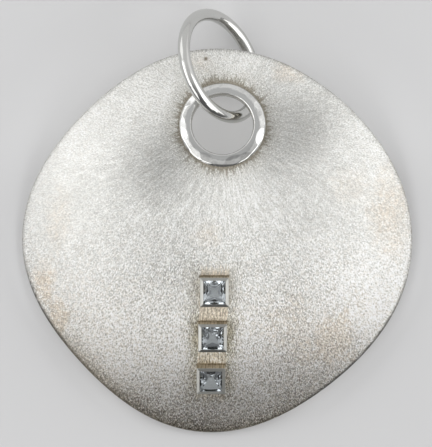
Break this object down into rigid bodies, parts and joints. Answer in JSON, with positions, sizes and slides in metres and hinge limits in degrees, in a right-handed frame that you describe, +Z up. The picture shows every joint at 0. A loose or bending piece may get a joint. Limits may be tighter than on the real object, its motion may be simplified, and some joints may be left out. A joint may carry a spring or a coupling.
{
  "type": "silver pendant with jump ring",
  "caption": "Domed round silver pendant with a hammered eyelet, a row of square stones in bezels and a jump ring for a chain or cord, lying on its rim.",
  "frame": {"origin": "on the surface that the pendant lies on, under the middle of its bounding box, jump ring included", "axes": "+Z up from the surface, +Y from the stones towards the jump ring, +X to the right when the domed face is seen with the ring at the top"},
  "size_m": [0.0508, 0.055, 0.0128],
  "materials": {
    "matt_silver": "ice-matt silver, wire-brushed in short strokes that fan out from the eyelet",
    "blue_stone": "clear pale blue, polished facets",
    "polished_silver": "polished silver wire"
  },
  "bodies": {
    "root": {"disc": "matt_silver", "stone_top": "blue_stone", "stone_middle": "blue_stone", "stone_bottom": "blue_stone", "bail_ring": "polished_silver"}
  },
  "joints": []
}
